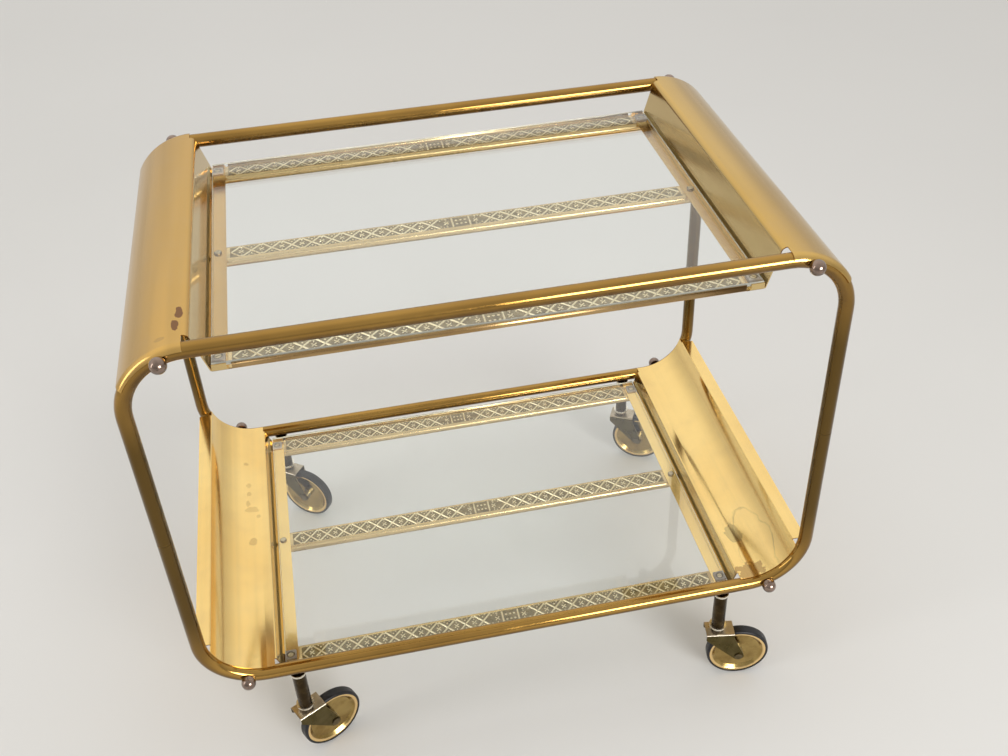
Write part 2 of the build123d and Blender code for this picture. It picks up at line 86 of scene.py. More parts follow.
# %% Wires
class Wire:
    """The output of a shader node, for use in arithmetic."""

    def __init__(self, finish, socket):
        self.finish = finish
        self.socket = socket

    def maths(self, operation, *values):
        return self.finish.node("ShaderNodeMath", {"operation": operation}, values)

    def __add__(self, other):
        return self.maths("ADD", self, other)

    def __mul__(self, other):
        return self.maths("MULTIPLY", self, other)

    def __sub__(self, other):
        return self.maths("SUBTRACT", self, other)

    def __rsub__(self, other):
        return self.maths("SUBTRACT", other, self)

    def __gt__(self, other):
        return self.maths("GREATER_THAN", self, other)

    def __lt__(self, other):
        return self.maths("LESS_THAN", self, other)

    def __abs__(self):
        return self.maths("ABSOLUTE", self)

    def __pow__(self, other):
        return self.maths("POWER", self, other)

    def least(self, other):
        return self.maths("MINIMUM", self, other)

    def most(self, other):
        return self.maths("MAXIMUM", self, other)

    def ramp(self, low, high, start=0.0, end=1.0):
        """Goes smoothly from start at low to end at high, and stays there."""
        settings = {"interpolation_type": "SMOOTHSTEP"}
        return self.finish.node("ShaderNodeMapRange", settings, (self, low, high, start, end))

    __radd__ = __add__
    __rmul__ = __mul__


print("wires ready")

# %% [markdown]
# Every other node comes from one method, which takes the node's type, its
# settings and what goes into its sockets. A finish has a tree of nodes and so
# has the sky, so the method stands in a class that both can use.

# %% Node trees
class Nodes:
    """A node tree that is filled through one method."""

    def __init__(self, tree):
        self.tree = tree

    def node(self, kind, settings, values, output=0):
        made = self.tree.nodes.new(kind)
        for name, value in settings.items():
            setattr(made, name, value)
        pairs = values.items() if isinstance(values, dict) else enumerate(values)
        for key, value in pairs:
            if isinstance(value, Wire):
                self.tree.links.new(value.socket, made.inputs[key])
            elif value is not None:
                made.inputs[key].default_value = value
        return Wire(self, made.outputs[output])

    def parts(self, vector):
        """The three parts of a vector, as wires."""
        return [self.node("ShaderNodeSeparateXYZ", {}, (vector,), axis) for axis in "XYZ"]


print("node trees ready")

# %% [markdown]
# A finish is one material. Its wear and its painted light and shade follow from
# where a point lies on the cart and which way the surface faces there, and clouds
# and specks break them up. The places are read on the piece itself, so its marks
# go with it when it moves.

# %% Finishes
class Finish(Nodes):
    """A material whose shader is a Principled BSDF."""

    def __init__(self, name, **fixed):
        self.material = bpy.data.materials.new(name)
        self.material.use_nodes = True
        super().__init__(self.material.node_tree)
        self.shader = self.tree.nodes["Principled BSDF"]
        self.put(**fixed)

    def put(self, **sockets):
        """Sets the shader's own sockets: base_color=..., roughness=..."""
        for name, value in sockets.items():
            socket = self.shader.inputs[name.replace("_", " ").title().replace("Ior", "IOR")]
            if isinstance(value, Wire):
                self.tree.links.new(value.socket, socket)
            else:
                socket.default_value = (*value, 1.0) if isinstance(value, tuple) else value

    def place(self):
        """The point's place on the cart, in metres, as three wires."""
        return self.parts(self.node("ShaderNodeTexCoord", {}, (), "Object"))

    def facing(self):
        """The surface's direction, as three wires."""
        return self.parts(self.node("ShaderNodeNewGeometry", {}, (), "True Normal"))

    def noise(self, scale, detail=3.0, stretch=None):
        """Cloudy noise from 0 to 1; stretch scales the axes separately."""
        where = self.node("ShaderNodeTexCoord", {}, (), "Object")
        if stretch:
            where = self.node("ShaderNodeMapping", {}, {"Vector": where, "Scale": stretch})
        values = {"Vector": where, "Scale": scale, "Detail": detail}
        return self.node("ShaderNodeTexNoise", {"noise_dimensions": "4D"}, values)

    def specks(self, scale, share):
        """Small round specks; share is how much of the surface may have them."""
        where = self.node("ShaderNodeTexCoord", {}, (), "Object")
        away = self.node("ShaderNodeTexVoronoi", {}, {"Vector": where, "Scale": scale})
        return away.ramp(0.22, 0.12) * self.noise(scale / 12, 2.0).ramp(1.0 - share, 1.1 - share)

    def mark(self, centre, radii, rag=4.0, grain=140.0):
        """A mark with a ragged edge, 1 in its middle and 0 outside."""
        away = (self.noise(grain, 4.0) - 0.5) * rag
        for axis, middle, radius in zip(self.place(), centre, radii):
            step = (axis - middle * MM) * (1.0 / (radius * MM))
            away = away + step * step
        return away.ramp(1.15, 0.85)

    def blend(self, factor, first, second):
        """A colour between two colours."""
        colours = [c if isinstance(c, Wire) else (*c, 1.0) for c in (first, second)]
        values = {"Factor": factor, 6: colours[0], 7: colours[1]}
        return self.node("ShaderNodeMix", {"data_type": "RGBA"}, values, 2)


def dress(finish, *names):
    """Gives CAD nodes a finish."""
    for name in names:
        slots = nodes[name].data.materials
        slots.clear()
        slots.append(finish.material)


print("finishes ready")

# %% [markdown]
# New pieces are made as by hand: a primitive is added at its size and place,
# then shaped in edit mode. An operator acts on all that is selected, so one
# helper adds a primitive alone in the selection, one picks faces or edges by a
# test, and one gives the middle of an edge or face, which most tests look at.

# %% Adding and picking
def start(kind, name, size=(1.0, 1.0, 1.0), **settings):
    """Adds a primitive at this size, with its place in its mesh."""
    bpy.ops.object.select_all(action="DESELECT")
    getattr(bpy.ops.mesh, f"primitive_{kind}_add")(**settings)
    made = bpy.context.object
    made.name = name
    made.scale = size
    bpy.ops.object.transform_apply(location=True, rotation=True, scale=True)
    return made


def pick(piece, kind, test):
    """In edit mode, selects only the faces or edges that pass a test."""
    bpy.ops.mesh.select_mode(type={"faces": "FACE", "edges": "EDGE"}[kind])
    bpy.ops.mesh.select_all(action="DESELECT")
    mesh = bmesh.from_edit_mesh(piece.data)
    for item in getattr(mesh, kind):
        if test(item):
            item.select_set(True)
    mesh.select_flush_mode()
    bmesh.update_edit_mesh(piece.data)


def middle(item):
    """The middle of an edge or face."""
    return sum((v.co for v in item.verts), Vector()) / len(item.verts)


print("adding and picking ready")

# %% [markdown]
# What repeats is modelled once and copied. Three more helpers do that: one
# copies a piece with its own mesh, one joins loose pieces into one, and one
# applies a piece's modifiers. A copy's place goes into its mesh, so that the
# object itself stays at the origin and the finish doesn't slide on it.

# %% Copying and joining
def copy_to(piece, name, place, turn=0.0):
    """Copies a piece with its own mesh, turned about the vertical and then moved."""
    made = piece.copy()
    made.data = piece.data.copy()
    made.name = name
    bpy.context.scene.collection.objects.link(made)
    made.data.transform(Matrix.Translation(place) @ Matrix.Rotation(turn, 4, "Z"))
    return made


def join(name, *pieces):
    """Joins pieces into one."""
    bpy.ops.object.select_all(action="DESELECT")
    for piece in pieces:
        piece.select_set(True)
    bpy.context.view_layer.objects.active = pieces[0]
    bpy.ops.object.join()
    made = bpy.context.object
    made.name = name
    return made


def apply_all(piece):
    """Applies every modifier of a piece."""
    bpy.ops.object.select_all(action="DESELECT")
    piece.select_set(True)
    bpy.context.view_layer.objects.active = piece
    for modifier in list(piece.modifiers):
        bpy.ops.object.modifier_apply(modifier=modifier.name)


print("copying and joining ready")

# %% [markdown]
# The strips under the glass are thin brass, run between patterned rollers: a
# row of crossed ribbons, a small flower between each pair, and beads along the
# borders, with a block of beads in the middle of the strip. One cell of the
# pattern is modelled with few faces and repeated by an Array modifier. That
# keeps six strips light, and the relief is still real geometry, which catches
# the light as the real one does. A bump would look flat from the side.

# %% Ribbons and beads
RIBBON_WIDTH = 1.9 * MM
RIBBON_TOP = (0.98, 0.45, 1.0)  # share of a ribbon's foot that its top keeps
RECESS = 0.35 * MM
RELIEF = 0.25 * MM


def ribbon(x, y, half_length, half_height):
    """A ribbon about this middle, with sloping sides."""
    thickness = RECESS + RELIEF
    length = 2 * math.hypot(half_length, half_height)
    bar = start("cube", "ribbon", (length / 2, RIBBON_WIDTH / 2, thickness / 2),
                location=(0, 0, RELIEF - thickness / 2))
    bpy.ops.object.mode_set(mode="EDIT")
    pick(bar, "faces", lambda face: face.normal.z > 0.5)
    bpy.ops.transform.resize(value=RIBBON_TOP, center_override=(0, 0, RELIEF))
    pick(bar, "faces", lambda face: face.normal.z < -0.5)
    bpy.ops.mesh.delete(type="FACE")
    bpy.ops.object.mode_set(mode="OBJECT")
    lean = Matrix.Rotation(math.atan2(half_height, half_length), 4, "Z")
    bar.data.transform(Matrix.Translation((x, y, 0)) @ lean)
    return bar


def bead(x, y, half_length, half_width, turn=0.0, rise=RELIEF):
    """A low bead, petal or leaf, half sunk into the recess."""
    return start("ico_sphere", "bead", (half_length, half_width, RECESS + rise), subdivisions=1,
                 radius=1.0, location=(x, y, -RECESS), rotation=(0, 0, turn))


print("ribbon", round(RIBBON_WIDTH / MM, 2), "mm wide, relief", round(RELIEF / MM, 2), "mm")

# %% [markdown]
# A flower is four long beads about a round one, and it stands between two
# crosses. Beads fill the space between a cross's arms at both borders, the
# outer ones leaning with the arms. A bead is a ball of few faces, pressed flat.

# %% One cell of the pattern
CELL = 19.45 * MM
ARM_LENGTH = 8.7 * MM
ARM_HEIGHT = 9.0 * MM
PETAL_REACH = 2.0 * MM
PETAL_RISE = 0.1 * MM
LEAF_REACH = 4.6 * MM
LEAF_RISE = 0.05 * MM
BUD_REACH = 7.3 * MM
BEAD_REACH = 5.6 * MM
BORDER_REACH = 8.0 * MM
BORDER_STEP = 2.7 * MM
BORDER_LEAN = 0.6


def flower(x):
    """Four petals round a bead, between two leaves and two buds."""
    made = [bead(x, 0, 0.9 * MM, 0.9 * MM)]
    for quarter in range(4):
        turn = math.radians(45 + 90 * quarter)
        place = (x + PETAL_REACH * math.cos(turn), PETAL_REACH * math.sin(turn))
        made.append(bead(*place, 1.6 * MM, 0.8 * MM, turn, PETAL_RISE))
    for side in (1, -1):
        made.append(bead(x, side * LEAF_REACH, 0.6 * MM, 1.3 * MM, 0.0, LEAF_RISE))
        made.append(bead(x, side * BUD_REACH, 1.5 * MM, 1.0 * MM))
    return made


def border_beads(x):
    """The beads between a cross's arms, at both borders."""
    made = []
    for side in (1, -1):
        made.append(bead(x, side * BEAD_REACH, 1.1 * MM, 1.1 * MM))
        for step in (-1, 1):
            place = (x + step * BORDER_STEP, side * BORDER_REACH)
            made.append(bead(*place, 1.1 * MM, 0.7 * MM, step * side * BORDER_LEAN))
    return made


cross = [ribbon(0, 0, ARM_LENGTH, lean * ARM_HEIGHT) for lean in (1, -1)]
cell = join("pattern_cell", *cross, *border_beads(0.0), *flower(CELL / 2))
print("one cell:", len(cell.data.polygons), "faces")

# %% [markdown]
# Ten cells run from the middle out to each end, where half a cross closes the
# row. The middle holds six beads between two brackets. The left row is the
# right one turned half round, so the pattern is the same from both ends.

# %% The whole pattern of a strip
FIRST_CELL = 30.2 * MM
CELLS = 10
PATTERN_END = FIRST_CELL + CELLS * CELL
BLOCK_COLUMNS = (-4.4 * MM, 0.0, 4.4 * MM)
BLOCK_ROWS = (-3.4 * MM, 3.4 * MM)
BRACKET = 8.6 * MM
BRACKET_HALF = 8.2 * MM
SIDE_FLOWER = 14.6 * MM
SIDE_BEADS = 20.5 * MM

repeat = cell.modifiers.new("repeat", "ARRAY")
repeat.use_relative_offset = False
repeat.use_constant_offset = True
repeat.constant_offset_displace = (CELL, 0, 0)
repeat.count = CELLS
apply_all(cell)
rows = [
    copy_to(cell, "right_row", (FIRST_CELL, 0, 0)),
    copy_to(cell, "left_row", (-FIRST_CELL, 0, 0), math.pi),
]
bpy.data.objects.remove(cell)
half_arm = ARM_LENGTH / 2
half_rise = ARM_HEIGHT / 2
ends = [
    ribbon(side * (PATTERN_END - half_arm), rise * half_rise, half_arm, -side * rise * half_rise)
    for side in (1, -1)
    for rise in (1, -1)
]
centre = [bead(x, y, 1.5 * MM, 1.4 * MM) for x in BLOCK_COLUMNS for y in BLOCK_ROWS]
for side in (1, -1):
    centre.append(ribbon(side * BRACKET, 0, 0.01 * MM, BRACKET_HALF))
    centre += flower(side * SIDE_FLOWER)
    centre += border_beads(side * SIDE_BEADS)
pattern = join("pattern", *rows, *ends, *centre)
print("pattern:", len(pattern.data.polygons), "faces,", round(2 * PATTERN_END / MM, 1), "mm long")

# %% [markdown]
# The sheet itself starts as a plane at the strip's upper side. Its inner edge
# is turned down over a round shoulder. The middle strip has two such edges,
# but the outer strips have a lip instead, which stands up between the ledges
# and keeps the glass in. The band that the pattern stands in is let in a
# little, and Solidify gives the sheet its thickness downwards.

# %% The strips' sheets
strip_low, strip_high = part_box("upper_middle_strip")
lip_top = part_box("upper_front_strip")[1].z
HALF_STRIP = (strip_high.y - strip_low.y) / 2
STRIP_LENGTH = strip_high.x - strip_low.x
STRIP_TURN = strip_high.z - strip_low.z
LIP_HEIGHT = lip_top - strip_high.z
LIP_END = 226.0 * MM
LIP_BEND = 0.5 * MM
STRIP_SHEET = 0.8 * MM
SHOULDER = 3.9 * MM
BAND_HALF = 9.4 * MM
BAND_SLOPE = 0.3 * MM
SAME_PLACE = 0.1 * MM  # nearer than this counts as the same place


def strip_sheet(lipped):
    """A strip's sheet, its upper side at height nought and its outer edge toward +Y."""
    outer = HALF_STRIP - STRIP_SHEET if lipped else HALF_STRIP
    sheet = start("plane", "sheet", (STRIP_LENGTH / 2, (outer + HALF_STRIP) / 2, 1.0),
                  location=(0, (outer - HALF_STRIP) / 2, 0))
    bpy.ops.object.mode_set(mode="EDIT")
    cuts = [(side * LIP_END, 0, 0) for side in (1, -1)] + [(0, side * BAND_HALF, 0) for side in (1, -1)]
    for place in cuts:
        bpy.ops.mesh.select_all(action="SELECT")
        bpy.ops.mesh.bisect(plane_co=place, plane_no=Vector(place).normalized())
    for side, edge in ((-1, HALF_STRIP), (1, outer)):
        up = lipped and side == 1

        def is_fold(item):
            place = middle(item)
            beside = abs(place.y - side * edge) < SAME_PLACE and abs(place.z) < SAME_PLACE
            return beside and (abs(place.x) < LIP_END or not up)

        pick(sheet, "edges", is_fold)
        turn = (0, 0, LIP_HEIGHT if up else -STRIP_TURN)
        bpy.ops.mesh.extrude_region_move(TRANSFORM_OT_translate={"value": turn})
        pick(sheet, "edges", is_fold)
        bpy.ops.mesh.bevel(offset=LIP_BEND if up else SHOULDER, segments=3 if up else 6, affect="EDGES")
    pick(sheet, "faces", lambda f: abs(middle(f).x) < LIP_END / 2 and abs(middle(f).y) < SAME_PLACE)
    bpy.ops.mesh.inset(thickness=BAND_SLOPE, depth=-RECESS)
    bpy.ops.object.mode_set(mode="OBJECT")
    for face in sheet.data.polygons:
        face.use_smooth = True
        in_band = face.center.z < -0.9 * RECESS and abs(face.center.y) < SAME_PLACE
        face.material_index = int(in_band)
    solid = sheet.modifiers.new("thickness", "SOLIDIFY")
    solid.thickness = STRIP_SHEET
    solid.offset = -1.0
    apply_all(sheet)
    return sheet


sheets = {"middle": strip_sheet(False), "outer": strip_sheet(True)}
print("sheets:", {name: len(sheet.data.polygons) for name, sheet in sheets.items()})

# %% [markdown]
# The strips are gilded brass. Years of rubbing keep the raised ribbons pale and
# bright, while the band behind them has gone a dull grey brown, so the pattern
# reads even in flat light. One mesh can carry all three tones if its faces are
# given different material slots, and the slots have to be there before the
# parts are joined, or the faces lose their numbers.

# %% Three tones of the strips
STANDING = 0.6  # a surface whose direction rises less than this stands upright
FRONT_SHADE_EDGE = -150.0 * MM

gilt = Finish("strip_gilt", metallic=1.0)
y = gilt.place()[1]
facing_z = gilt.facing()[2]
cloud = gilt.noise(60.0, 4.0, stretch=(0.25, 1.0, 1.0)).ramp(0.3, 0.75)
# Upright faces at the cart's front edge are darkened below: painted shade.
face = (abs(facing_z) < STANDING) * (y < FRONT_SHADE_EDGE)
colour = gilt.blend(cloud, (0.80, 0.60, 0.31), (0.64, 0.48, 0.25))
colour = gilt.blend(face * (0.6 + 0.3 * cloud), colour, (0.30, 0.17, 0.06))
gilt.put(base_color=colour, roughness=0.2 + 0.12 * cloud)
ribbon_gilt = Finish("strip_ribbon", metallic=1.0)
cloud = ribbon_gilt.noise(120.0, 3.0).ramp(0.3, 0.75)
ribbon_gilt.put(base_color=ribbon_gilt.blend(cloud, (1.0, 0.88, 0.60), (0.86, 0.72, 0.45)),
                roughness=0.26 + 0.1 * cloud)
recess = Finish("strip_recess", metallic=1.0)
cloud = recess.noise(150.0, 4.0).ramp(0.3, 0.75)
recess.put(base_color=recess.blend(cloud, (0.38, 0.29, 0.15), (0.24, 0.18, 0.085)),
           roughness=0.42 + 0.15 * cloud)
for piece in (pattern, *sheets.values()):
    for finish in (gilt, recess, ribbon_gilt):
        piece.data.materials.append(finish.material)
for face in pattern.data.polygons:
    face.material_index = 2
print("strip finishes:", [slot.name for slot in pattern.data.materials])

# %% [markdown]
# Each strip is one sheet with the pattern laid in it, at its node's own place.
# The front strips are the rear ones turned half round, so their lips face out.

# %% Six strips
TRAYS = ("upper", "lower")
for tray in TRAYS:
    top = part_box(f"{tray}_middle_strip")[1].z
    for row, kind, turn in (("front", "outer", math.pi), ("middle", "middle", 0.0), ("rear", "outer", 0.0)):
        node = f"{tray}_{row}_strip"
        low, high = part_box(node)
        place = Vector((0, (low.y + high.y) / 2, top))
        sheet = copy_to(sheets[kind], "sheet", place, turn)
        made = join(f"{node}_embossed", sheet, copy_to(pattern, "relief", place))
        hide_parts(node)
        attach(made, "cart")
        print(made.name, len(made.data.polygons), "faces,", len(made.data.materials), "finishes")
for loose in (pattern, *sheets.values()):
    bpy.data.objects.remove(loose)

# %% [markdown]
# The cart stands on a plain pale floor. Polished brass shows its surroundings
# more than its own colour, so the sky matters: it brightens from the horizon to
# half way up and is dimmer on the camera's side, as light indoors is uneven. It
# is a formula on the direction, with no picture.

# %% Floor and sky
FLOOR_HALF = 80.0
SKY_COLOUR = (1.0, 0.985, 0.955, 1.0)
SKY_LOW = 0.66
SKY_HIGH = 0.98
SKY_NEAR = 0.65  # share of the strength that the camera's side keeps

floor = start("plane", "floor", (FLOOR_HALF, FLOOR_HALF, 1.0))
floor_finish = Finish("floor_pale", roughness=0.9)
cloud = floor_finish.noise(1.5, 3.0)
floor_finish.put(base_color=floor_finish.blend(cloud, (0.74, 0.73, 0.71), (0.70, 0.69, 0.67)))
floor.data.materials.append(floor_finish.material)

world = bpy.data.worlds.new("studio")
bpy.context.scene.world = world
world.use_nodes = True
sky = Nodes(world.node_tree)
_, deep, high_up = sky.parts(sky.node("ShaderNodeTexCoord", {}, (), "Generated"))
level = high_up.ramp(0.05, 0.6, SKY_LOW, SKY_HIGH) * deep.ramp(-0.7, 0.3, SKY_NEAR, 1.0)
background = world.node_tree.nodes["Background"]
background.inputs["Color"].default_value = SKY_COLOUR
world.node_tree.links.new(level.socket, background.inputs["Strength"])
print("sky ready")

# %% [markdown]
# The white line along the front rails needs a broad light in front of the cart,
# to its right, so one area lamp stands there. Its light fans out little, which
# keeps the floor before it from going white. A weaker, narrow lamp on the left
# draws the thin bright lines on the uprights.

# %% Lamps
def lamp(name, place, aim, width, height, watts, spread):
    """A rectangular lamp that faces a point; spread is its fan in degrees."""
    data = bpy.data.lights.new(name, "AREA")
    data.shape = "RECTANGLE"
    data.size = width
    data.size_y = height
    data.energy = watts
    data.spread = math.radians(spread)
    made = bpy.data.objects.new(name, data)
    bpy.context.scene.collection.objects.link(made)
    made.location = place
    made.rotation_euler = (Vector(aim) - Vector(place)).to_track_quat("-Z", "Y").to_euler()


lamp("front_light", place=(1.2, -2.7, 1.3), aim=(0.0, 0.0, 0.5),
     width=1.5, height=1.2, watts=12.0, spread=70.0)
lamp("left_fill", place=(-2.4, -0.6, 1.3), aim=(0.0, 0.0, 0.35),
     width=0.5, height=1.8, watts=8.0, spread=180.0)
bpy.context.scene.view_settings.view_transform = "Standard"
print("lamps ready")

# %% [markdown]
# The rails are lacquered brass, orange brown on top. Their ground colour is
# darker than the panels' brass, partly from age and partly as painted shade.
# Painted shade also makes them nearly black brown underneath and dark all
# round on the uprights. A surface's direction tells top from underside, so that
# shade is laid on by the part of the normal that points down, and the colour is
# broken up by slow clouds and small specks. The lacquer is a thin coat, which
# whitens highlights.

# %% Brass of the rails
UPRIGHT_FOOT = (150.0 * MM, 250.0 * MM)
UPRIGHT_HEAD = (540.0 * MM, 450.0 * MM)

rail = Finish("rail_brass", metallic=1.0, coat_weight=0.2, coat_roughness=0.05)
z = rail.place()[2]
facing_z = rail.facing()[2]
cloud = rail.noise(8.0, 4.0).ramp(0.35, 0.7)
fine = rail.noise(45.0, 4.0).ramp(0.35, 0.75)
upright_shade = z.ramp(*UPRIGHT_FOOT) * z.ramp(*UPRIGHT_HEAD)
underside_shade = facing_z.ramp(0.3, -0.2)
# Ground colour, darker than the panels' brass: partly age, partly painted shade.
colour = rail.blend(cloud, (0.46, 0.265, 0.062), (0.36, 0.20, 0.045))
# The uprights are darkened all round: painted shade.
colour = rail.blend(upright_shade * 0.85, colour, (0.075, 0.044, 0.008))
# The undersides are darkened to nearly black brown: painted shade.
colour = rail.blend(underside_shade * (1.0 - upright_shade) * (0.7 + 0.25 * fine), colour, (0.12, 0.065, 0.02))
colour = rail.blend(rail.specks(260.0, 0.35) * 0.7, colour, (0.12, 0.07, 0.03))
rail.put(base_color=colour, roughness=0.09 + 0.1 * fine + 0.12 * underside_shade)
tubes = [name for name in nodes if name.endswith("_tube")]
dress(rail, *tubes)
print("rails:", tubes)

# %% [markdown]
# The panels are thin brass sheet, polished and then left: a warm gold with
# cloudy patches and faint lines along the sheet from the polishing. All panels
# are one brass, but the upper ones are darker, the left one a little lighter,
# with dark bands along them: these are painted reflections. The flanges inside
# the trays never got polished and stay dull.

# %% Brass of the panels
FLANGE_START = 260.5 * MM
HALF_WAY_UP = 300.0 * MM

panel = Finish("panel_brass", metallic=1.0)
x, _, z = panel.place()
facing_z = panel.facing()[2]
cloud = panel.noise(6.0, 4.0).ramp(0.35, 0.7)
fine = panel.noise(40.0, 4.0).ramp(0.4, 0.8)
line = panel.noise(110.0, 2.0, stretch=(1.0, 0.02, 1.0)).ramp(0.35, 0.75)
reflection_band = panel.noise(32.0, 2.0, stretch=(1.0, 0.06, 1.0)).ramp(0.35, 0.65)
upper = z > HALF_WAY_UP
left = x < 0.0
colour = panel.blend(cloud, (0.99, 0.72, 0.29), (0.94, 0.64, 0.23))
# Upper panels darker, the upper left lighter, with dark bands: painted reflections.
colour = panel.blend(upper * (0.8 + 0.15 * cloud), colour, (0.64, 0.41, 0.12))
colour = panel.blend(upper * left * 0.6, colour, (0.78, 0.47, 0.14))
colour = panel.blend(upper * reflection_band * 0.42, colour, (0.46, 0.29, 0.09))
flange = (abs(x) < FLANGE_START) * (abs(facing_z) < STANDING)
colour = panel.blend(flange * 0.85, colour, (0.63, 0.48, 0.23))
colour = panel.blend(line * 0.16, colour, (0.60, 0.42, 0.20))
colour = panel.blend(fine * 0.16, colour, (0.62, 0.43, 0.22))
print("panels' ground colour ready")

# %% [markdown]
# Drinks were spilt on the panels and the marks stayed. Each mark is an oval
# with a ragged edge at its place on the sheet, in millimetres: its tone, its
# depth, its centre and its three radii. A last large oval keeps only its rim,
# as a dried puddle does.

# %% Marks on the panels
ROUGH_MARK = (0.20, 0.09, 0.045)
SOFT_MARK = (0.42, 0.28, 0.12)
OLIVE_MARK = (0.36, 0.32, 0.16)

marks = [
    (ROUGH_MARK, 0.9, (-262.4, -152.0, 562.0), (3.0, 10.0, 9.0)),
    (ROUGH_MARK, 0.9, (-265.2, -168.0, 562.0), (3.2, 8.0, 9.0)),
    (SOFT_MARK, 0.4, (-279.0, -184.0, 559.8), (6.0, 2.6, 9.0)),
    (SOFT_MARK, 0.4, (-269.8, -12.0, 149.4), (5.0, 5.0, 9.0)),
    (SOFT_MARK, 0.3, (-268.5, 42.0, 149.4), (8.0, 5.0, 9.0)),
    (SOFT_MARK, 0.35, (-274.0, 52.0, 149.4), (2.6, 5.0, 9.0)),
    (SOFT_MARK, 0.3, (-272.5, 84.0, 149.4), (3.0, 4.0, 9.0)),
    (SOFT_MARK, 0.35, (-272.0, 70.0, 149.4), (2.4, 3.4, 9.0)),
    (SOFT_MARK, 0.4, (-275.0, 124.0, 149.4), (3.0, 3.0, 9.0)),
    (SOFT_MARK, 0.3, (-262.0, 30.0, 149.4), (2.4, 3.0, 9.0)),
    (OLIVE_MARK, 0.5, (268.0, -128.0, 149.5), (8.0, 14.0, 12.0)),
    (ROUGH_MARK, 0.5, (266.0, -186.0, 149.5), (16.0, 12.0, 12.0)),
]
for tone, depth, centre, radii in marks:
    colour = panel.blend(panel.mark(centre, radii) * depth, colour, tone)
spill = panel.mark((283.0, -160.0, 155.0), (17.0, 56.0, 34.0), rag=2.4, grain=26.0)
rim = spill * (1.0 - spill) * 4.0
colour = panel.blend(rim * (0.2 + 0.5 * fine), colour, OLIVE_MARK)
colour = panel.blend(panel.specks(180.0, 0.3) * 0.6, colour, SOFT_MARK)
panel.put(base_color=colour, roughness=0.10 + 0.09 * cloud + 0.06 * line)
panels = [name for name in nodes if name.endswith("_panel")]
dress(panel, *panels)
print("panels:", panels)

# %% [markdown]
# Float glass is clear, but its ground edge is rough and looks pale grey green.
# The edge faces sideways and the two large faces don't, so the surface's
# direction mixes a clear glass and a milky one. A few smears and dust specks
# keep the large faces from looking like nothing at all. A second mix lets the
# lamps' light through, or all that lies under the glass would be in shadow.

# %% Glass shelves
glass = Finish("glass", ior=1.5, transmission_weight=1.0, base_color=(0.95, 0.97, 0.96))
smear = glass.noise(14.0, 3.0, stretch=(1.0, 0.35, 1.0)).ramp(0.55, 0.8)
glass.put(roughness=0.02 + 0.03 * smear)
milky = {"Base Color": (0.93, 0.93, 0.82, 1.0), "Roughness": 0.35, "Transmission Weight": 0.6}
ground = glass.node("ShaderNodeBsdfPrincipled", {}, milky)
facing_z = glass.facing()[2]
sideways = (abs(facing_z) < 0.9) * 0.85
grime = glass.specks(300.0, 0.25) * 0.25 + smear * 0.03
clear = Wire(glass, glass.shader.outputs[0])
mixed = glass.node("ShaderNodeMixShader", {}, (sideways.most(grime), clear, ground))
through = glass.node("ShaderNodeBsdfTransparent", {}, {"Color": (0.90, 0.92, 0.88, 1.0)})
shadow = glass.node("ShaderNodeLightPath", {}, (), "Is Shadow Ray")
mixed = glass.node("ShaderNodeMixShader", {}, (shadow, mixed, through))
output = glass.tree.nodes["Material Output"]
glass.tree.links.new(mixed.socket, output.inputs["Surface"])
dress(glass, "upper_glass", "lower_glass")
print("glass ready")

# %% [markdown]
# Twelve small screws hold the strips to the ledges. Their heads are low and
# slotted, darker round the rim, with painted shade on their upright faces. A
# cylinder is the start: its upper edge is bevelled for the crown, a thin block
# is cut out of it for the slot, and a second cylinder makes the shank. The
# slots stand at uneven angles, as they do when each screw is tightened until it
# holds.

# %% Slotted screws
HEAD_RADIUS = 3.75 * MM
HEAD_HEIGHT = 1.8 * MM
CROWN = 0.9 * MM
SLOT_HALF = (5.0 * MM, 0.45 * MM, 0.5 * MM)
SHANK_RADIUS = 2.0 * MM
SHANK_LENGTH = 5.8 * MM

head = start("cylinder", "screw", (HEAD_RADIUS, HEAD_RADIUS, HEAD_HEIGHT / 2), vertices=40, radius=1.0,
             depth=2.0, location=(0, 0, HEAD_HEIGHT / 2))
bpy.ops.object.mode_set(mode="EDIT")
pick(head, "edges", lambda edge: all(v.co.z > 0.9 * HEAD_HEIGHT for v in edge.verts))
bpy.ops.mesh.bevel(offset=CROWN, segments=5, affect="EDGES")
bpy.ops.object.mode_set(mode="OBJECT")
slot = start("cube", "slot", SLOT_HALF, location=(0, 0, HEAD_HEIGHT))
cut = head.modifiers.new("slot", "BOOLEAN")
cut.operation = "DIFFERENCE"
cut.object = slot
apply_all(head)
bpy.data.objects.remove(slot)
shank = start("cylinder", "shank", (SHANK_RADIUS, SHANK_RADIUS, SHANK_LENGTH / 2), vertices=24, radius=1.0,
              depth=2.0, location=(0, 0, -SHANK_LENGTH / 2))
one_screw = join("screw", head, shank)
bpy.ops.object.shade_smooth_by_angle(angle=math.radians(40))
print("screw:", len(one_screw.data.polygons), "faces")

# %% [markdown]
# The distance from the nearest screw's middle says where the rim is. The two
# ends of the cart are alike, so the absolute value folds them together, and the
# lesser of two distances picks the middle row or an outer one.

# %% Dark rim and painted shade of the screws
SCREW_X = 237.0 * MM
SCREW_Y = 172.0 * MM

screw = Finish("screw_brass", metallic=1.0)
x, y, _ = screw.place()
facing_z = screw.facing()[2]
off_x = abs(x) - SCREW_X
off_y = abs(y).least(abs(abs(y) - SCREW_Y))
away = (off_x * off_x + off_y * off_y) ** 0.5
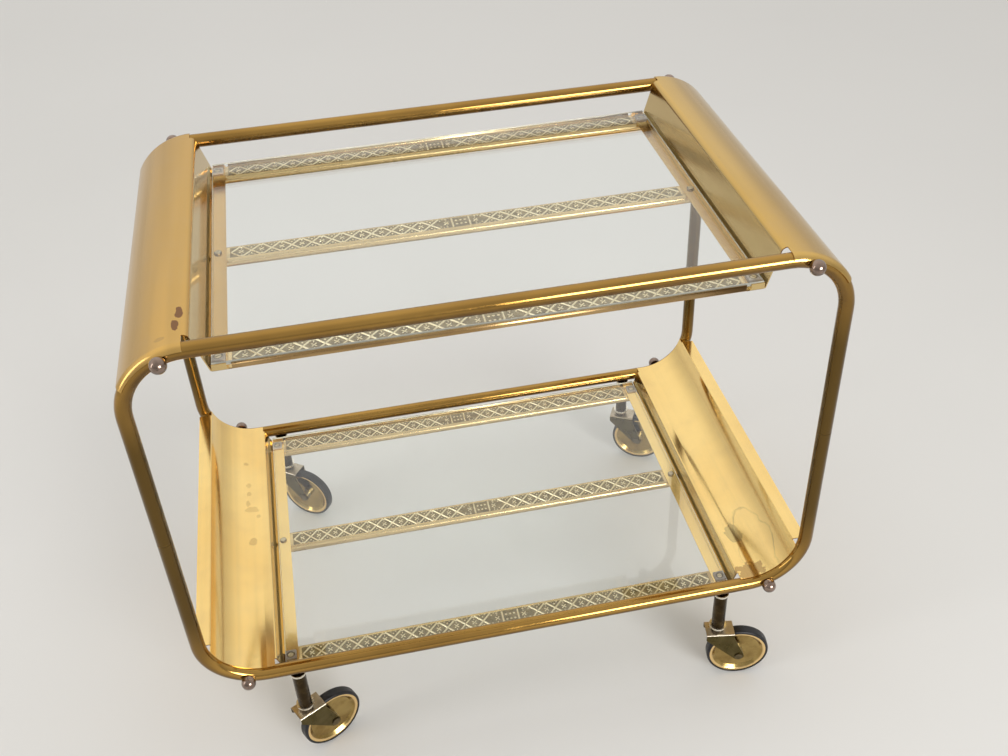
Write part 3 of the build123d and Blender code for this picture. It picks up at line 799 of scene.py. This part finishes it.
# Darker round the rim, and painted shade on upright faces, the slot's walls too.
dark_rim_and_shade = away.ramp(2.4 * MM, 3.2 * MM).most(facing_z < STANDING)
cloud = screw.noise(300.0, 3.0)
bright = screw.blend(cloud, (0.78, 0.66, 0.44), (0.58, 0.46, 0.28))
colour = screw.blend(dark_rim_and_shade * 0.85, bright, (0.16, 0.12, 0.07))
screw.put(base_color=colour, roughness=0.24 + 0.2 * cloud)
one_screw.data.materials.append(screw.material)
print("screw finish:", one_screw.data.materials[0].name)

# %% [markdown]
# The screws' node holds all twelve, upper and lower, so its box gives the upper
# heads' tops and the lower shanks' ends.

# %% Twelve screws
FIRST_SLOT = 20  # degrees
SLOT_STEP = 37

screw_top = {
    "upper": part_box("tray_screws")[1].z,
    "lower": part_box("tray_screws")[0].z + SHANK_LENGTH + HEAD_HEIGHT,
}
screws = []
for tray in TRAYS:
    for side in (-1, 1):
        for row in (-1, 0, 1):
            place = Vector((side * SCREW_X, row * SCREW_Y, screw_top[tray] - HEAD_HEIGHT))
            turn = math.radians(FIRST_SLOT + SLOT_STEP * len(screws))
            screws.append(copy_to(one_screw, "screw", place, turn))
bpy.data.objects.remove(one_screw)
made = join("tray_screws_slotted", *screws)
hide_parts("tray_screws")
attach(made, "cart")
print(len(screws), "screws,", len(made.data.polygons), "faces")

# %% [markdown]
# The small fittings have a finish each: coppery balls with worn plating under
# a clear coat, with painted shade underneath, zinc-plated nuts, and the soft
# pads that the glass lies on.

# %% Fittings
steel = Finish("zinc_steel", metallic=1.0)
cloud = steel.noise(120.0, 3.0)
steel.put(base_color=steel.blend(cloud, (0.62, 0.61, 0.58), (0.40, 0.39, 0.37)),
          roughness=0.28 + 0.15 * cloud)
dress(steel, "tube_spigots", "ball_screw_nuts", "tray_nuts", "grip_rings")

ball = Finish("ball_copper", metallic=1.0, coat_weight=1.0, coat_roughness=0.04)
cloud = ball.noise(140.0, 4.0).ramp(0.35, 0.7)
# The balls' lower halves are darkened: painted shade.
underside_shade = ball.facing()[2].ramp(0.1, -0.7)
colour = ball.blend(cloud, (0.30, 0.205, 0.155), (0.17, 0.115, 0.085))
ball.put(base_color=ball.blend(underside_shade * 0.8, colour, (0.07, 0.05, 0.04)), roughness=0.12 + 0.14 * cloud)
dress(ball, "ball_screws")

pad = Finish("pad_grey")
cloud = pad.noise(200.0, 4.0).ramp(0.3, 0.75)
pad.put(base_color=pad.blend(cloud, (0.46, 0.38, 0.31), (0.36, 0.29, 0.24)), roughness=0.5 + 0.2 * cloud)
print("fittings ready")

# %% [markdown]
# Each pad is a square of soft sheet with rounded corners and a round hole for
# the screw's head. Its top stops a hair below the glass: two faces in exactly
# the same place would let the light slip through, and the pad would look black.

# %% Pads under the glass
PAD_HALF = 6.0 * MM
PAD_HOLE = 4.25 * MM
PAD_CORNER = 1.2 * MM
PAD_ROUND = 0.3 * MM
HAIR = 0.08 * MM
pad_low, pad_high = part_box("upper_glass_pads")
PAD_HEIGHT = pad_high.z - pad_low.z - HAIR
one_pad = start("cube", "pad", (PAD_HALF, PAD_HALF, PAD_HEIGHT / 2), location=(0, 0, PAD_HEIGHT / 2))
bpy.ops.object.mode_set(mode="EDIT")
pick(one_pad, "edges", lambda edge: abs(edge.verts[0].co.z - edge.verts[1].co.z) > HAIR)
bpy.ops.mesh.bevel(offset=PAD_CORNER, segments=4, affect="EDGES")
pick(one_pad, "faces", lambda face: face.normal.z > 0.5)
bpy.ops.mesh.bevel(offset=PAD_ROUND, segments=2, affect="EDGES")
bpy.ops.object.mode_set(mode="OBJECT")
punch = start("cylinder", "punch", (PAD_HOLE, PAD_HOLE, 2 * PAD_HEIGHT), vertices=40, radius=1.0, depth=2.0)
hole = one_pad.modifiers.new("hole", "BOOLEAN")
hole.operation = "DIFFERENCE"
hole.object = punch
apply_all(one_pad)
bpy.data.objects.remove(punch)
one_pad.data.materials.append(pad.material)
for tray in TRAYS:
    node = f"{tray}_glass_pads"
    low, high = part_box(node)
    corners = [
        (x, y, low.z)
        for x in (low.x + PAD_HALF, high.x - PAD_HALF)
        for y in (low.y + PAD_HALF, high.y - PAD_HALF)
    ]
    pads = [copy_to(one_pad, "pad", corner) for corner in corners]
    made = join(f"{node}_punched", *pads)
    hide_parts(node)
    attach(made, "cart")
    print(made.name, len(made.data.polygons), "faces")
bpy.data.objects.remove(one_pad)

# %% [markdown]
# The casters are the darkest parts. Their stems are bronzed, and the collars
# and the rings under the rails are bright nickel, with painted shade at the
# collar's foot.

# %% Stems and collars
COLLAR_FOOT = (77.5 * MM, 74.5 * MM)

stem = Finish("stem_bronze", metallic=1.0)
cloud = stem.noise(70.0, 4.0).ramp(0.35, 0.75)
stem.put(base_color=stem.blend(cloud, (0.035, 0.02, 0.006), (0.075, 0.05, 0.018)),
         roughness=0.2 + 0.15 * cloud)
dress(stem, "caster_stems")

nickel = Finish("collar_nickel", metallic=1.0)
cloud = nickel.noise(150.0, 3.0).ramp(0.4, 0.8)
# The collar's foot is darkened: painted shade.
collar_foot_shade = nickel.place()[2].ramp(*COLLAR_FOOT)
colour = nickel.blend(cloud, (0.86, 0.81, 0.70), (0.66, 0.60, 0.48))
nickel.put(base_color=nickel.blend(collar_foot_shade * 0.9, colour, (0.08, 0.06, 0.04)), roughness=0.24 + 0.12 * cloud)
dress(nickel, "stem_ferrules", *(name for name in nodes if name.endswith("_collar")))
print("stems and collars ready")

# %% [markdown]
# The forks are folded sheet of one bronze, painted lighter on top and dark on
# the cheeks as painted light and shade, with a painted highlight on the bend
# between the two. The surface's direction tells these apart: it points straight
# up on top, sideways on the cheeks, and part way on the bend.

# %% Forks and axles
fork = Finish("fork_bronze", metallic=1.0)
facing_z = fork.facing()[2]
cloud = fork.noise(90.0, 4.0).ramp(0.35, 0.75)
# Painted light on top and painted shade on the cheeks.
top = facing_z.ramp(0.9, 0.97)
# Painted highlight on the bend between top and cheek.
edge = facing_z.ramp(0.25, 0.6) * (1.0 - top)
colour = fork.blend(cloud, (0.09, 0.068, 0.02), (0.14, 0.108, 0.042))
colour = fork.blend(top, colour, fork.blend(cloud, (0.50, 0.42, 0.31), (0.38, 0.32, 0.23)))
colour = fork.blend(edge * 0.9, colour, (0.88, 0.78, 0.62))
fork.put(base_color=colour, roughness=0.26 + 0.14 * cloud)
rivet = Finish("rivet_bronze", metallic=1.0)
cloud = rivet.noise(200.0, 3.0).ramp(0.35, 0.75)
rivet.put(base_color=rivet.blend(cloud, (0.17, 0.13, 0.07), (0.10, 0.08, 0.04)),
          roughness=0.3 + 0.15 * cloud)
for ending, finish in (("_fork", fork), ("_axle", rivet), ("_kingpin", steel), ("_hub", steel)):
    dress(finish, *(name for name in nodes if name.endswith(ending)))
print("forks and axles ready")

# %% [markdown]
# The discs are spun brass with a golden rim round a dish that is painted
# darker, as a painted dark reflection in its hollow. The distance from the
# wheel's centre tells rim from dish, so each wheel gets its own copy of that
# finish with its own centre. The tyres are plain black rubber.

# %% Wheels
DISH_END = 28.5 * MM
RIM_START = 30.0 * MM

rubber = Finish("tyre_rubber", specular_ior_level=0.35)
cloud = rubber.noise(180.0, 4.0).ramp(0.35, 0.75)
rubber.put(base_color=rubber.blend(cloud, (0.008, 0.008, 0.009), (0.022, 0.020, 0.021)),
           roughness=0.34 + 0.2 * cloud)
for corner in ("front_right", "front_left", "rear_left", "rear_right"):
    disc = Finish(f"{corner}_disc_brass", metallic=1.0)
    low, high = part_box(f"{corner}_tyre")
    centre = (low + high) / 2
    where = disc.node("ShaderNodeTexCoord", {}, (), "Object")
    away = disc.node("ShaderNodeVectorMath", {"operation": "DISTANCE"}, (where, centre), 1)
    cloud = disc.noise(60.0, 4.0).ramp(0.35, 0.75)
    # The dish is darkened: a painted dark reflection.
    dish_reflection = disc.blend(cloud, (0.46, 0.33, 0.12), (0.28, 0.18, 0.055))
    disc.put(base_color=disc.blend(away.ramp(DISH_END, RIM_START), dish_reflection, (0.95, 0.68, 0.32)),
             roughness=0.14 + 0.14 * cloud)
    dress(disc, f"{corner}_wheel_discs")
    dress(rubber, f"{corner}_tyre")
    print(corner, "wheel centre", [round(c, 4) for c in centre])
